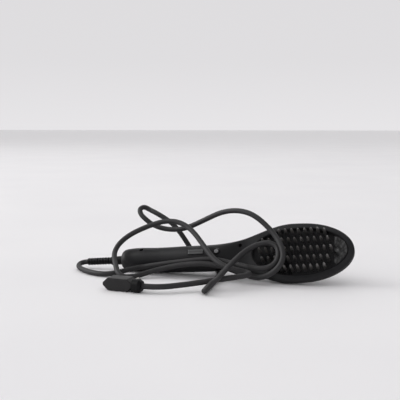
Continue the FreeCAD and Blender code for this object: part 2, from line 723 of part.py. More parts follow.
power_switch = switch("power_switch", "button_x")
temperature_switches = group("temperature_switches", [
    switch("cooler_switch", "rocker_x - rocker_foot_spacing / 2"),
    switch("hotter_switch", "rocker_x + rocker_foot_spacing / 2")])
indicator_led = block("indicator_led", "led_length", "led_width", "led_height", "button_x", "led_y",
                      "board_height")
film_capacitor = block("film_capacitor", "capacitor_length", "capacitor_width", "capacitor_height",
                       "capacitor_x", "0", "board_under - capacitor_height")
power_triac = block("power_triac", "triac_length", "triac_width", "triac_height",
                    "triac_x", "0", "board_under - triac_height")
board_fuse = cylinder("board_fuse", "board_fuse_radius", "board_fuse_length",
                      "board_fuse_x - board_fuse_length / 2", "0",
                      "board_under - board_fuse_radius", ALONG_X)

# Round button, its light and the rocker on its pin
front_at_button = section(s.button_x, 0.0)[1]
button_top = front_at_button + s.button_proud
button_shoulder = button_top - s.button_rim
button_length = form("button_stem", Part.makeCylinder(
    s.button_radius, button_shoulder - s.button_bottom, V(s.button_x, 0, s.button_bottom)))
button_edge = form("button_edge", Part.makeCone(
    s.button_radius, s.button_radius - s.button_rim, s.button_rim, V(s.button_x, 0, button_shoulder)))
button_flange = cylinder("button_flange", "button_flange_radius", "button_flange_height", "button_x",
                         "0", "button_bottom")
light_seat = form("light_seat", Part.makeCylinder(
    s.light_radius + s.light_fit, s.light_depth + s.overrun,
    V(s.button_x, 0, button_top - s.light_depth)))
button_blank = fuse("button_blank", [button_length, button_edge, button_flange])
power_button = cut("power_button", button_blank, light_seat)
power_light_lens = form("power_light_lens", Part.makeCylinder(
    s.light_radius, s.light_depth, V(s.button_x, 0, button_top - s.light_depth)))

rocker_block = block("rocker_block", "rocker_length", "rocker_width", "rocker_height", "rocker_x",
                     "0", "rocker_top - rocker_height")
rocker_cap = rounded("rocker_cap", rocker_block, s.rocker_round,
                     lambda p: p.z > s.rocker_top - s.rocker_round)
rocker_parts = [rocker_cap]
for number, sign in enumerate((-1, 1), 1):
    rocker_parts.append(cylinder("rocker_foot_%d" % number, "rocker_foot_radius",
                                 "rocker_top - rocker_height / 2 - plunger_top - rocker_foot_gap",
                                 "rocker_x + %d * rocker_foot_spacing / 2" % sign, "0",
                                 "plunger_top + rocker_foot_gap"))
rocker_bore = cylinder("rocker_bore", "rocker_pin_radius + rocker_pin_fit", "rocker_width * 2",
                       "rocker_x", "-rocker_width", "rocker_pivot", ALONG_Y)
temperature_rocker = cut("temperature_rocker", fuse("rocker_blank", rocker_parts), rocker_bore)
rocker_pin = cylinder("rocker_pin", "rocker_pin_radius", "(lug_y + lug_width) * 2", "rocker_x",
                      "-lug_y - lug_width", "rocker_pivot", ALONG_Y)

# Swivel: spindle with two slip rings in a housing that carries two contact strips
swivel_spindle = fuse("swivel_spindle", [
    cylinder("swivel_collar", "collar_radius", "collar_length + swivel_flange_start", "-collar_length",
             turn=ALONG_X),
    cylinder("swivel_flange", "swivel_flange_radius", "swivel_flange_length", "swivel_flange_start",
             turn=ALONG_X),
    cylinder("swivel_journal", "journal_radius", "housing_end - bearing_end_gap - swivel_flange_end",
             "swivel_flange_end", turn=ALONG_X)])


def slip_ring(name, x, radius):
    start = "%s - ring_width / 2" % x
    return cut(name, cylinder(name + "_outer", radius, "ring_width", start, turn=ALONG_X),
               cylinder(name + "_bore", "journal_radius + ring_fit", "ring_width * 3",
                        start + " - ring_width", turn=ALONG_X))


slip_ring_live = slip_ring("slip_ring_live", "first_ring_x", "ring_radius")
slip_ring_neutral = slip_ring("slip_ring_neutral", "second_ring_x", "ring_radius - ring_step_down")


def contact(name, grow, x, z, side):
    """A contact strip over a ring, or with grow its groove in the housing."""
    low = z if side > 0 else "-(%s) - contact_thickness" % z
    start = "%s - ring_width / 2" % x
    length = "contact_end - (%s)" % start
    if grow:
        low = z + " - ring_thickness" if side > 0 else "-(%s) - contact_thickness - contact_fit" % z
        return block(name, "housing_length * 3", "contact_width + contact_fit * 2",
                     "contact_thickness + contact_fit + ring_thickness", "housing_end", "0", low)
    middle = "(contact_end + %s) / 2" % start
    return block(name, length, "contact_width", "contact_thickness", middle, "0", low)


LIVE_HEIGHT = "ring_radius + contact_gap"
NEUTRAL_HEIGHT = "ring_radius - ring_step_down + contact_gap"
contact_live = contact("contact_live", False, "first_ring_x", LIVE_HEIGHT, 1)
contact_neutral = contact("contact_neutral", False, "second_ring_x", NEUTRAL_HEIGHT, -1)
housing_blank = cylinder("housing_blank", "housing_radius", "housing_length", "housing_start",
                         turn=ALONG_X)
housing_spaces = fuse("housing_spaces", [
    cylinder("ring_chamber", "ring_radius + ring_clearance", "bearing_start - housing_start + overrun",
             "housing_start - overrun", turn=ALONG_X),
    cylinder("bearing_bore", "journal_radius + journal_fit", "housing_length * 2", "housing_start",
             turn=ALONG_X),
    contact("live_groove", True, "first_ring_x", LIVE_HEIGHT, 1),
    contact("neutral_groove", True, "second_ring_x", NEUTRAL_HEIGHT, -1)])
swivel_housing = cut("swivel_housing", housing_blank, housing_spaces)
relief_parts = [cylinder("relief_core", "relief_core_radius", "relief_length", "relief_end",
                         turn=ALONG_X)]
for number in range(RELIEF_RIBS):
    gap = "(relief_length - relief_rib_width) / %d" % (RELIEF_RIBS - 1)
    relief_parts.append(cylinder("relief_rib_%d" % number, "relief_radius", "relief_rib_width",
                                 "relief_end + %d * %s" % (number, gap), turn=ALONG_X))
strain_relief = fuse("strain_relief", relief_parts)


def bent_lead(name, start, end, y, z, rise_x, rise_to):
    """A lead along x with one leg up or down to the board."""
    legs = [cylinder(name + "_run", "lead_radius", "%s - (%s)" % (end, start), start, y, z, ALONG_X)]
    low, high = (z, rise_to) if rise_to == "board_under" else (rise_to, z)
    legs.append(cylinder(name + "_leg", "lead_radius", "%s - (%s)" % (high, low), rise_x, y, low))
    ball = doc.addObject("Part::Sphere", name + "_bend")
    bind(ball, Radius="lead_radius")
    place(ball, rise_x, y, z, ALONG_Z)
    legs.append(ball)
    return fuse(name, legs)


MAINS_END = "board_start + lead_end_inset"
mains_lead_live = bent_lead("mains_lead_live", "contact_end", MAINS_END, "0",
                            LIVE_HEIGHT + " + contact_thickness / 2", MAINS_END, "board_height")
mains_lead_neutral = bent_lead("mains_lead_neutral", "contact_end", MAINS_END, "0",
                               "-(%s) - contact_thickness / 2" % NEUTRAL_HEIGHT, MAINS_END,
                               "board_under")
HEATER_LEAD_START = "board_end - lead_end_inset"
HEATER_LEAD_END = "head_x - ptc_spacing / 2 - ptc_length / 2"
heater_leads = group("heater_leads", [
    bent_lead("heater_lead_%d" % number, HEATER_LEAD_START, HEATER_LEAD_END,
              "%s * heater_lead_y" % sign, "heater_under - ptc_thickness / 2", HEATER_LEAD_START,
              "board_under")
    for number, sign in enumerate((1, -1), 1)])

# Plug in a frame of its own: the cord leaves at the origin along x, the pins point along y

def plug_end(name, side):
    """A bevelled end of the plug's body, from its full thickness to a blunt nose."""
    item = doc.addObject("Part::Wedge", name)
    bind(item, Xmin="-plug_thickness / 2", Xmax="plug_thickness / 2", X2min="-plug_nose / 2",
         X2max="plug_nose / 2", Ymin="0", Ymax="plug_bevel", Zmin="0", Zmax="plug_depth",
         Z2min="0", Z2max="plug_depth")
    turn = FreeCAD.Rotation(Z_AXIS * side, X_AXIS * side, Y_AXIS, "XYZ")
    place(item, "plug_middle + %d * (plug_width / 2 - plug_bevel)" % side, "-plug_back", "0", turn)
    return item


plug_blank = fuse("plug_blank", [
    block("plug_core", "plug_width - plug_bevel * 2", "plug_depth", "plug_thickness", "plug_middle",
          "plug_depth / 2 - plug_back", "-plug_thickness / 2"),
    plug_end("plug_far_end", -1), plug_end("plug_cord_end", 1)])
plug_shape = rounded("plug_shape", plug_blank, s.plug_round,
                     lambda p: p.y < s.plug_round - s.plug_back)
PIN_PLACES = ("plug_middle - pin_spacing / 2", "plug_middle + pin_spacing / 2")
plug_body = cut("plug_body", plug_shape, group("pin_holes", [
    cylinder("pin_hole_%d" % number, "pin_root_radius + pin_fit", "pin_root + overrun", x,
             "plug_depth - plug_back - pin_root", "0", ALONG_Y)
    for number, x in enumerate(PIN_PLACES, 1)]))
plug_grip = fuse("plug_grip", [
    cylinder("grip_barrel", "grip_radius", "grip_length - grip_cone_length", "plug_side",
             turn=ALONG_X),
    cone("grip_cone", "grip_radius", "grip_end_radius", "grip_cone_length", "-grip_cone_length",
         turn=ALONG_X)])
plug_pins = group("plug_pins", [
    fuse("plug_pin_%d" % number, [
        cylinder("pin_root_%d" % number, "pin_root_radius", "pin_root", x,
                 "plug_depth - plug_back - pin_root", "0", ALONG_Y),
        cylinder("pin_bar_%d" % number, "pin_radius", "pin_length - pin_round", x,
                 "plug_depth - plug_back", "0", ALONG_Y),
        cone("pin_tip_%d" % number, "pin_radius", "pin_radius - pin_round / 2", "pin_round", x,
             "plug_depth - plug_back + pin_length - pin_round", "0", ALONG_Y)])
    for number, x in enumerate(PIN_PLACES, 1)])

# Lie: the casing leans back on its edge and touches the surface at the butt and at the head

def reach_down(x):
    """How far the leaning section at x reaches below the axis."""
    width, front, rear, front_power, rear_power = section(x, 0.0)
    tilt = math.radians(s.lie_tilt)
    points = [(width * y, front * z) for y, z in unit_curve(front_power)]
    points += [(width * y, -rear * z) for y, z in unit_curve(rear_power)]
    return max(-y * math.cos(tilt) - z * math.sin(tilt) for y, z in points)


lie_pitch = max(math.atan2(reach_down(x) - s.butt_radius, x - s.butt_round)
                for x in stations(0.0) if x > s.neck_start)
butt_rise = s.butt_radius * math.cos(lie_pitch) - s.butt_round * math.sin(lie_pitch)
lie_turn = FreeCAD.Rotation(Y_AXIS, -math.degrees(lie_pitch))
lie_turn = lie_turn.multiply(FreeCAD.Rotation(X_AXIS, 90 - s.lie_tilt))
lie = FreeCAD.Placement(V(0, 0, butt_rise), lie_turn)
plug_turn = FreeCAD.Rotation(Z_AXIS, s.plug_turn)
plug_lie = FreeCAD.Placement(V(s.plug_x, s.plug_y, s.grip_radius), plug_turn)

BRUSH_PIECES = [front_shell, rear_shell, case_screws, bristle_plate, bristles, heater_plate, ptc_heaters,
                heater_clamp, clamp_screws, heat_shield, thermal_fuse, temperature_sensor, heater_leads,
                control_board, board_screws, power_switch, temperature_switches, indicator_led,
                film_capacitor, power_triac, board_fuse, power_button, power_light_lens,
                temperature_rocker, rocker_pin, swivel_spindle, slip_ring_live, slip_ring_neutral,
                swivel_housing, contact_live, contact_neutral, mains_lead_live, mains_lead_neutral,
                strain_relief]
PLUG_PIECES = [plug_body, plug_grip, plug_pins]


def node(item):
    """The drawn piece as a node of its own that takes a placement."""
    item.Label = item.Name + "_drawn"
    holder = group(item.Name + "_node", [item])
    holder.Label = item.Name
    return holder


brush_nodes = [node(item) for item in BRUSH_PIECES]
plug_nodes = [node(item) for item in PLUG_PIECES]
for item in brush_nodes:
    item.Placement = lie
doc.recompute()

# The origin lies under the middle of the brush, and its lowest point on the surface
boxes = [item.Shape.optimalBoundingBox(False, False) for item in brush_nodes]
middle_x = (min(box.XMin for box in boxes) + max(box.XMax for box in boxes)) / 2
middle_y = (min(box.YMin for box in boxes) + max(box.YMax for box in boxes)) / 2
lowest = min(box.ZMin for box in boxes)
to_origin = FreeCAD.Placement(V(-middle_x, -middle_y, 0), FreeCAD.Rotation())
brush_lie = FreeCAD.Placement(V(-middle_x, -middle_y, -lowest), FreeCAD.Rotation()).multiply(lie)
plug_lie = to_origin.multiply(plug_lie)
for item in brush_nodes:
    item.Placement = brush_lie
for item in plug_nodes:
    item.Placement = plug_lie


# Cord: straight runs joined by tangent arcs

def cord_wire(points):
    edges = []
    bends = []
    start = points[0]
    for before, corner, after in zip(points, points[1:], points[2:]):
        a = (before - corner).normalize()
        b = (after - corner).normalize()
        turn = math.pi - a.getAngle(b)
        reach = BEND_SHARE * min((before - corner).Length, (after - corner).Length)
        radius = reach / math.tan(turn / 2)
        arc_start = corner + a * reach
        arc_end = corner + b * reach
        arc_middle = corner + (a + b).normalize() * (math.hypot(reach, radius) - radius)
        edges.append(Part.LineSegment(start, arc_start).toShape())
        edges.append(Part.Arc(arc_start, arc_middle, arc_end).toShape())
        bends.append((radius, math.degrees(turn), corner))
        start = arc_end
    edges.append(Part.LineSegment(start, points[-1]).toShape())
    return Part.Wire(edges), bends


way = [brush_lie.multVec(V(s.relief_end, 0, 0))]
way += [brush_lie.multVec(V(s.relief_end - s.cord_lead_out, 0, 0))]
way += [to_origin.multVec(V(*point)) for point in CORD_POINTS]
way += [plug_lie.multVec(V(s.plug_lead_out, 0, 0)), plug_lie.multVec(V())]
wire, bends = cord_wire(way)
profile = Part.Wire([Part.Circle(way[0], way[1] - way[0], s.cord_diameter / 2).toShape()])
pipe = Part.BRepOffsetAPI.MakePipeShell(wire)
pipe.add(profile, False, False)
pipe.build()
pipe.makeSolid()
power_cord = form("power_cord", pipe.shape())
plain_volume = math.pi * s.cord_diameter ** 2 / 4 * wire.Length
volume_ratio = power_cord.Shape.Volume / plain_volume
print("cord length %.1f, volume over section times length %.4f" % (wire.Length, volume_ratio))
for radius, turn, corner in sorted(bends, key=lambda bend: bend[0]):
    print("bend radius %.1f turn %.0f at %.1f %.1f %.1f" % (radius, turn, corner.x, corner.y, corner.z))
doc.recompute()

NODES = brush_nodes + plug_nodes + [power_cord]
for item in doc.Objects:
    if "Invalid" in item.State or "Error" in item.State:
        raise RuntimeError("%s did not build" % item.Name)
os.makedirs("parts", exist_ok=True)
for item in NODES:
    if item.Shape.isNull() or not item.Shape.isValid():
        raise RuntimeError("%s has no sound shape" % item.Label)
    item.Shape.exportStep("parts/%s.step" % item.Label)
    print("%s: %d solids, %.1f mm3" % (item.Label, len(item.Shape.Solids), item.Shape.Volume))
print("origin under %.3f %.3f, lowest %.3f" % (middle_x, middle_y, lowest))
print("pitch %.3f" % math.degrees(lie_pitch))
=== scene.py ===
"""A heated styling brush with its looped mains cord: camera, cord, pieces, finishes and studio."""
import json
import math

import bmesh
import bpy
from mathutils import Matrix, Vector


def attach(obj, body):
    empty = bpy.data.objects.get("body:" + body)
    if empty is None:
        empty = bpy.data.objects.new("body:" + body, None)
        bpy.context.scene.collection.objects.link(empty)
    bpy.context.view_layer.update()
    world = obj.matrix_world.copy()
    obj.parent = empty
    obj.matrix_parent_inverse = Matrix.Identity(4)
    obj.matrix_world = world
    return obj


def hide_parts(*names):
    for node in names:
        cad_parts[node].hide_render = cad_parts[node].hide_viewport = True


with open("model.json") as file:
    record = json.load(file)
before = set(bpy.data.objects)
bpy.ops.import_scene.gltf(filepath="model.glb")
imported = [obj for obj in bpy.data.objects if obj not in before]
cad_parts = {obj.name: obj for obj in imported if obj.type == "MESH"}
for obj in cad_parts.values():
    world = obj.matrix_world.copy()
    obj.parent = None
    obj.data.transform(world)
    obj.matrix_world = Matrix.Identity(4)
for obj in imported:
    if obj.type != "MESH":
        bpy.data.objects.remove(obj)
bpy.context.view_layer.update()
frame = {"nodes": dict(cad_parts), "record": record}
nodes = frame["nodes"]
scene = bpy.context.scene
scene.view_settings.view_transform = "Standard"

# Camera at the photograph's angle, with the picture taken as 400 by 400 pixels
AIM = Vector((-0.017624, 0.001436, 0.090))
AZIMUTH = math.radians(16.0)
ELEVATION = math.radians(6.0)
DISTANCE = 0.828
FOCAL_PIXELS = 700.0
PICTURE_PIXELS = 400.0
SENSOR = 36.0
NEAREST_SEEN = 0.01

away = Vector((math.sin(AZIMUTH) * math.cos(ELEVATION), -math.cos(AZIMUTH) * math.cos(ELEVATION),
               math.sin(ELEVATION)))
lens = bpy.data.cameras.new("camera")
lens.sensor_width = SENSOR
lens.lens = SENSOR * FOCAL_PIXELS / PICTURE_PIXELS
lens.clip_start = NEAREST_SEEN
camera = bpy.data.objects.new("camera", lens)
camera.location = AIM + away * DISTANCE
camera.rotation_euler = away.to_track_quat("Z", "Y").to_euler()
scene.collection.objects.link(camera)
scene.camera = camera

# Mains cord, from the strain relief through its loops to the plug: control points in metres
CORD_DIAMETER = 0.0062
SPLINE_STEPS = 6
CORD_ROUNDNESS = 6
CORD_ROUTE = (
    (-0.1624, 0.0014, 0.0082), (-0.1689, 0.0014, 0.0076), (-0.1723, -0.0048, 0.0061),
    (-0.1698, -0.0126, 0.0045), (-0.1638, -0.0190, 0.0035), (-0.1561, -0.0251, 0.0032),
    (-0.1449, -0.0338, 0.0032), (-0.1274, -0.0404, 0.0032), (-0.1157, -0.0386, 0.0037),
    (-0.1060, -0.0346, 0.0058), (-0.0961, -0.0281, 0.0079), (-0.0860, -0.0161, 0.0089),
    (-0.0691, -0.0157, 0.0124), (-0.0465, -0.0163, 0.0166), (-0.0244, -0.0166, 0.0204),
    (-0.0068, -0.0168, 0.0232), (0.0065, -0.0181, 0.0235), (0.0209, -0.0206, 0.0218),
    (0.0355, -0.0246, 0.0199), (0.0499, -0.0291, 0.0183), (0.0629, -0.0328, 0.0185),
    (0.0732, -0.0318, 0.0209), (0.0798, -0.0277, 0.0271), (0.0809, -0.0221, 0.0350),
    (0.0779, -0.0168, 0.0421), (0.0697, -0.0140, 0.0452), (0.0606, -0.0145, 0.0443),
    (0.0514, -0.0176, 0.0412), (0.0427, -0.0226, 0.0359), (0.0364, -0.0336, 0.0302),
    (0.0316, -0.0496, 0.0246), (0.0277, -0.0666, 0.0192), (0.0245, -0.0826, 0.0144),
    (0.0229, -0.0946, 0.0134), (0.0183, -0.0980, 0.0079), (0.0135, -0.0934, 0.0032),
    (0.0122, -0.0786, 0.0032), (0.0114, -0.0536, 0.0032), (0.0104, -0.0266, 0.0032),
    (0.0074, -0.0006, 0.0032), (-0.0021, 0.0224, 0.0032), (-0.0151, 0.0324, 0.0100),
    (-0.0331, 0.0334, 0.0166), (-0.0427, 0.0334, 0.0314), (-0.0526, 0.0344, 0.0449),
    (-0.0626, 0.0364, 0.0549), (-0.0750, 0.0384, 0.0622), (-0.0878, 0.0404, 0.0683),
    (-0.0951, 0.0441, 0.0703), (-0.1036, 0.0432, 0.0750), (-0.1073, 0.0358, 0.0722),
    (-0.1035, 0.0306, 0.0662), (-0.0974, 0.0284, 0.0618), (-0.0921, 0.0278, 0.0577),
    (-0.0854, 0.0274, 0.0538), (-0.0739, 0.0264, 0.0504), (-0.0613, 0.0254, 0.0494),
    (-0.0481, 0.0239, 0.0506), (-0.0348, 0.0219, 0.0552), (-0.0224, 0.0189, 0.0612),
    (-0.0090, 0.0149, 0.0680), (0.0043, 0.0104, 0.0744), (0.0185, 0.0059, 0.0781),
    (0.0317, 0.0019, 0.0787), (0.0438, -0.0021, 0.0766), (0.0551, -0.0061, 0.0711),
    (0.0651, -0.0096, 0.0634), (0.0741, -0.0131, 0.0551), (0.0817, -0.0200, 0.0465),
    (0.0862, -0.0263, 0.0383), (0.0872, -0.0306, 0.0313), (0.0839, -0.0331, 0.0231),
    (0.0773, -0.0346, 0.0161), (0.0687, -0.0341, 0.0106), (0.0584, -0.0326, 0.0081),
    (0.0471, -0.0301, 0.0092), (0.0341, -0.0276, 0.0125), (0.0206, -0.0256, 0.0161),
    (0.0070, -0.0241, 0.0184), (-0.0071, -0.0234, 0.0191), (-0.0211, -0.0232, 0.0178),
    (-0.0355, -0.0232, 0.0155), (-0.0496, -0.0238, 0.0122), (-0.0621, -0.0261, 0.0090),
    (-0.0725, -0.0321, 0.0062), (-0.0806, -0.0396, 0.0038), (-0.0881, -0.0461, 0.0032),
    (-0.0956, -0.0499, 0.0038), (-0.1025, -0.0476, 0.0070), (-0.1075, -0.0408, 0.0112),
    (-0.1125, -0.0324, 0.0162), (-0.1173, -0.0241, 0.0215), (-0.1196, -0.0151, 0.0280),
    (-0.1170, -0.0076, 0.0349), (-0.1110, -0.0016, 0.0414), (-0.1024, 0.0034, 0.0473),
    (-0.0916, 0.0074, 0.0525), (-0.0805, 0.0104, 0.0571), (-0.0688, 0.0119, 0.0608),
    (-0.0566, 0.0114, 0.0624), (-0.0444, 0.0089, 0.0610), (-0.0329, 0.0044, 0.0565),
    (-0.0225, -0.0026, 0.0498), (-0.0124, -0.0111, 0.0416), (-0.0022, -0.0206, 0.0331),
    (0.0078, -0.0291, 0.0256), (0.0193, -0.0351, 0.0206), (0.0313, -0.0376, 0.0176),
    (0.0406, -0.0381, 0.0160), (0.0481, -0.0396, 0.0152), (0.0528, -0.0456, 0.0152),
    (0.0528, -0.0531, 0.0154), (0.0479, -0.0571, 0.0146), (0.0386, -0.0601, 0.0132),
    (0.0278, -0.0646, 0.0118), (0.0173, -0.0706, 0.0107), (0.0070, -0.0766, 0.0094),
    (-0.0034, -0.0821, 0.0083), (-0.0138, -0.0881, 0.0075), (-0.0229, -0.0941, 0.0070),
    (-0.0313, -0.0991, 0.0069), (-0.0407, -0.1041, 0.0073), (-0.0516, -0.1032, 0.0073),
)

curve = bpy.data.curves.new("mains_cord", "CURVE")
curve.dimensions = "3D"
spline = curve.splines.new("NURBS")
spline.points.add(len(CORD_ROUTE) - 1)
# The thickness is on the points, because a curve's box counts their radius; the bevel's depth is one
for point, place in zip(spline.points, CORD_ROUTE):
    point.co = (*place, 1.0)
    point.radius = CORD_DIAMETER / 2
spline.order_u = 3
spline.use_endpoint_u = True
spline.resolution_u = SPLINE_STEPS
curve.bevel_depth = 1.0
curve.bevel_resolution = CORD_ROUNDNESS
curve.use_fill_caps = True
cord = bpy.data.objects.new("mains_cord", curve)
scene.collection.objects.link(cord)
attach(cord, "brush")
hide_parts("power_cord")

# The brush's own frame: x along its axis from the butt, z along the bristles, lying on its edge
MM = 0.001
BUTT = Vector((-0.116124, 0.001436, 0.012504))
PITCH = math.radians(5.261)
TURN = math.radians(54.0)
lie = Matrix.Translation(BUTT) @ Matrix.Rotation(-PITCH, 4, "Y") @ Matrix.Rotation(TURN, 4, "X")
axis = (lie.to_3x3() @ Vector((1.0, 0.0, 0.0))).normalized()
face_up = tuple(lie.to_3x3() @ Vector((0.0, 1.0, 0.0)))
face_out = tuple(lie.to_3x3() @ Vector((0.0, 0.0, 1.0)))


def put(x, y, z):
    """A place in the brush's frame, given in millimetres."""
    return lie @ Matrix.Translation((x * MM, y * MM, z * MM))


def add_piece(name, shape, body, slot, *stands_for):
    """A smooth piece from a bmesh that rides on a body in place of CAD nodes."""
    mesh = bpy.data.meshes.new(name)
    bmesh.ops.recalc_face_normals(shape, faces=shape.faces)
    shape.to_mesh(mesh)
    shape.free()
    mesh.shade_smooth()
    item = bpy.data.objects.new(name, mesh)
    scene.collection.objects.link(item)
    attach(item, body)
    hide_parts(*stands_for)
    return item


def lathe(shape, outline, sides, place):
    """Turns an outline of (height, radius) in millimetres about z; no radius closes to a point."""
    rings = []
    for height, radius in outline:
        count = sides if radius else 1
        ring = []
        for number in range(count):
            angle = 2 * math.pi * number / count
            spot = Vector((radius * math.cos(angle) * MM, radius * math.sin(angle) * MM, height * MM))
            ring.append(shape.verts.new(place @ spot))
        rings.append(ring)
    for low, high in zip(rings, rings[1:]):
        for k in range(sides):
            n = (k + 1) % sides
            corners = [low[k % len(low)], low[n % len(low)],
                       high[n % len(high)], high[k % len(high)]]
            shape.faces.new(list(dict.fromkeys(corners)))


# Bristles: bullet-shaped teeth in five staggered rows, the outer rows bent in at their ends
HEAD_X = 218.0
DISH_FLOOR = 1.9
BRISTLE_PITCH = 7.4
ROW_STEP = 11.4
# Each row's place across the head, and its first and last tooth along it
ROWS = ((-2, -4, 4), (-1, -6, 4), (0, -6, 5), (1, -6, 4), (2, -4, 4))
STAGGER = 0.5
OUTER_ROW = 2
BENT_FROM = 3
BENT_IN = 1.3
# Height and radius in millimetres
BRISTLE_OUTLINE = (
    (-0.3, 0.0), (-0.3, 2.15), (0.0, 2.15), (0.7, 2.08), (2.0, 2.04), (4.5, 2.00), (7.2, 1.92),
    (9.2, 1.82), (11.0, 1.68), (12.5, 1.48), (13.7, 1.22), (14.6, 0.95), (15.3, 0.66), (15.8, 0.33),
    (16.0, 0.0),
)
BRISTLE_SIDES = 24

teeth = bmesh.new()
for row, first, last in ROWS:
    for number in range(first, last + 1):
        y = row * ROW_STEP
        if abs(row) == OUTER_ROW and abs(number) > BENT_FROM:
            y -= math.copysign(BENT_IN, y)
        x = HEAD_X + BRISTLE_PITCH * (number + STAGGER * (row % 2))
        lathe(teeth, BRISTLE_OUTLINE, BRISTLE_SIDES, put(x, y, DISH_FLOOR))
bristle_set = add_piece("bristle_set", teeth, "brush", "bristle_black", "bristles")

# Strain relief: rounded ribs on a slim core, joined in turn by bars above and below and at the sides
RELIEF_END = -46.5
RELIEF_LENGTH = 32.0
RELIEF_SIDES = 48
RELIEF_RIBS = 9
RIB_WIDTH = 2.2
RIB_RADIUS = 4.35
RIB_ROUND = 0.35
RIB_CORNER = RIB_ROUND * 0.3
GROOVE_WALL = 0.05
CORE_RADIUS = 3.55
BAR_RADIUS = 4.2
BAR_HALF_WIDTH = 1.1
BAR_BEVEL_OUT = 0.2
BAR_BEVEL_SIDE = 0.4
BAR_ROOT = 0.5
BAR_SUNK = 0.2
BAR_SECTION = (
    (CORE_RADIUS - BAR_ROOT, -BAR_HALF_WIDTH), (BAR_RADIUS - BAR_BEVEL_OUT, -BAR_HALF_WIDTH),
    (BAR_RADIUS, -BAR_HALF_WIDTH + BAR_BEVEL_SIDE), (BAR_RADIUS, BAR_HALF_WIDTH - BAR_BEVEL_SIDE),
    (BAR_RADIUS - BAR_BEVEL_OUT, BAR_HALF_WIDTH), (CORE_RADIUS - BAR_ROOT, BAR_HALF_WIDTH),
)
rib_step = (RELIEF_LENGTH - RIB_WIDTH) / (RELIEF_RIBS - 1)
along_axis = put(RELIEF_END, 0, 0) @ Matrix.Rotation(math.radians(90.0), 4, "Y")


def add_bar(shape, low, high, place):
    """A bevelled bar between two heights along z, given in millimetres."""
    ends = [[shape.verts.new(place @ Vector((out * MM, side * MM, height * MM)))
             for out, side in BAR_SECTION] for height in (low, high)]
    count = len(BAR_SECTION)
    for k in range(count):
        n = (k + 1) % count
        shape.faces.new((ends[0][k], ends[0][n], ends[1][n], ends[1][k]))
    shape.faces.new(ends[0][::-1])
    shape.faces.new(ends[1])


relief = bmesh.new()
outline = [(0.0, 0.0), (0.0, CORE_RADIUS)]
for number in range(RELIEF_RIBS):
    low = number * rib_step
    high = low + RIB_WIDTH
    outline += [(low, RIB_RADIUS - RIB_ROUND), (low + RIB_CORNER, RIB_RADIUS - RIB_CORNER),
                (low + RIB_ROUND, RIB_RADIUS), (high - RIB_ROUND, RIB_RADIUS),
                (high - RIB_CORNER, RIB_RADIUS - RIB_CORNER), (high, RIB_RADIUS - RIB_ROUND)]
    if number < RELIEF_RIBS - 1:
        outline += [(high + GROOVE_WALL, CORE_RADIUS), (low + rib_step - GROOVE_WALL, CORE_RADIUS)]
outline += [(RELIEF_LENGTH, CORE_RADIUS), (RELIEF_LENGTH, 0.0)]
lathe(relief, outline, RELIEF_SIDES, along_axis)
for number in range(RELIEF_RIBS - 1):
    low = number * rib_step + RIB_WIDTH - BAR_SUNK
    high = (number + 1) * rib_step + BAR_SUNK
    for turn in (0.0, math.pi):
        angle = turn + math.pi / 2 * (number % 2)
        add_bar(relief, low, high, along_axis @ Matrix.Rotation(angle, 4, "Z"))
ribbed_relief = add_piece("ribbed_relief", relief, "cord_swivel", "collar_black", "strain_relief")

# Casing: the photographed handle is fuller below than its solids, so both shells are let down there
FULLER = 4.0
# How far from the butt that begins, is full, grows less and ends
FULLER_FROM, FULLER_ALL, FULLER_LESS, FULLER_TO = 10.0, 60.0, 112.0, 150.0
HANDLE_RADIUS = 12.5
FLOOR_GAP = 0.0002
SHARP = math.radians(32.0)


def smooth(share):
    """Rises softly from nought to one."""
    share = min(1.0, max(0.0, share))
    return share * share * (3 - 2 * share)


def fuller(name, node):
    """A copy of a shell with its underside let down along the handle, but not below the floor."""
    shape = bmesh.new()
    shape.from_mesh(nodes[node].data)
    for vert in shape.verts:
        along = (vert.co - BUTT).dot(axis)
        below = (BUTT + axis * along - vert.co).z / (HANDLE_RADIUS * MM)
        along /= MM
        rise = smooth((along - FULLER_FROM) / (FULLER_ALL - FULLER_FROM))
        fall = smooth((FULLER_TO - along) / (FULLER_TO - FULLER_LESS))
        drop = FULLER * MM * rise * fall * smooth(below)
        if drop > 0.0:
            vert.co.z = max(vert.co.z - drop, min(vert.co.z, FLOOR_GAP))
    item = add_piece(name, shape, "brush", "casing_black", node)
    item.data.set_sharp_from_angle(angle=SHARP)
    return item


casing_front = fuller("casing_front", "front_shell")
casing_back = fuller("casing_back", "rear_shell")

# Finishes: noise in metres gives each its colour patches, uneven roughness and grain
PATCH_DETAIL = 3.0
GRAIN_DETAIL = 2.0
NOISE_RANGE = (0.3, 0.7)
GRAIN_SHARE = 0.5
ROUGH_RANGE = (0.15, 0.85)
BUMP_STRENGTH = 0.6
COAT_ROUGHNESS = 0.12
EVEN = (1.0, 1.0, 1.0)


def new_material(name):
    """A material with a bare shader, its node tree and that shader."""
    item = bpy.data.materials.new(name)
    item.use_nodes = True
    tree = item.node_tree
    tree.nodes.clear()
    shader = tree.nodes.new("ShaderNodeBsdfPrincipled")
    out = tree.nodes.new("ShaderNodeOutputMaterial")
    tree.links.new(shader.outputs["BSDF"], out.inputs["Surface"])
    return item, tree, shader


def noise(tree, size, detail, stretch=EVEN):
    """Soft noise in the object's own metres whose spots are about that size."""
    where = tree.nodes.new("ShaderNodeTexCoord")
    scale = tree.nodes.new("ShaderNodeVectorMath")
    scale.operation = "MULTIPLY"
    scale.inputs[1].default_value = stretch
    tree.links.new(where.outputs["Object"], scale.inputs[0])
    spots = tree.nodes.new("ShaderNodeTexNoise")
    spots.inputs["Scale"].default_value = 1.0 / size
    spots.inputs["Detail"].default_value = detail
    tree.links.new(scale.outputs[0], spots.inputs["Vector"])
    return spots.outputs["Fac"]


